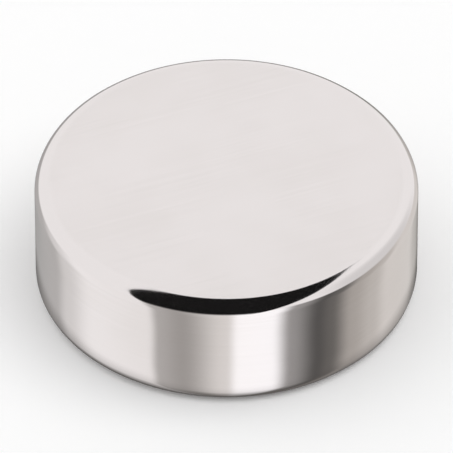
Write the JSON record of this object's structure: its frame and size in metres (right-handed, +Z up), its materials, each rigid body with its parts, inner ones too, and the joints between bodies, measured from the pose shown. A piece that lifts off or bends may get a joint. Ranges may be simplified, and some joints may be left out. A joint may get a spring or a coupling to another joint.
{
  "type": "disc magnet",
  "caption": "Flat round disc magnet of sintered neodymium with a bright nickel plating, a smooth rim and evenly rounded edges.",
  "frame": {"origin": "centre of the pole face that the disc lies on", "axes": "+Z up along the disc's axis, which is also the direction it is magnetised in; X and Y are any two directions across the round face"},
  "size_m": [0.012, 0.012, 0.004],
  "materials": {
    "nickel_plate": "bright nickel plating, mirror-like on the rim and edges and softly satin on the two ground pole faces"
  },
  "bodies": {
    "root": {"disc_magnet": "nickel_plate"}
  },
  "joints": []
}
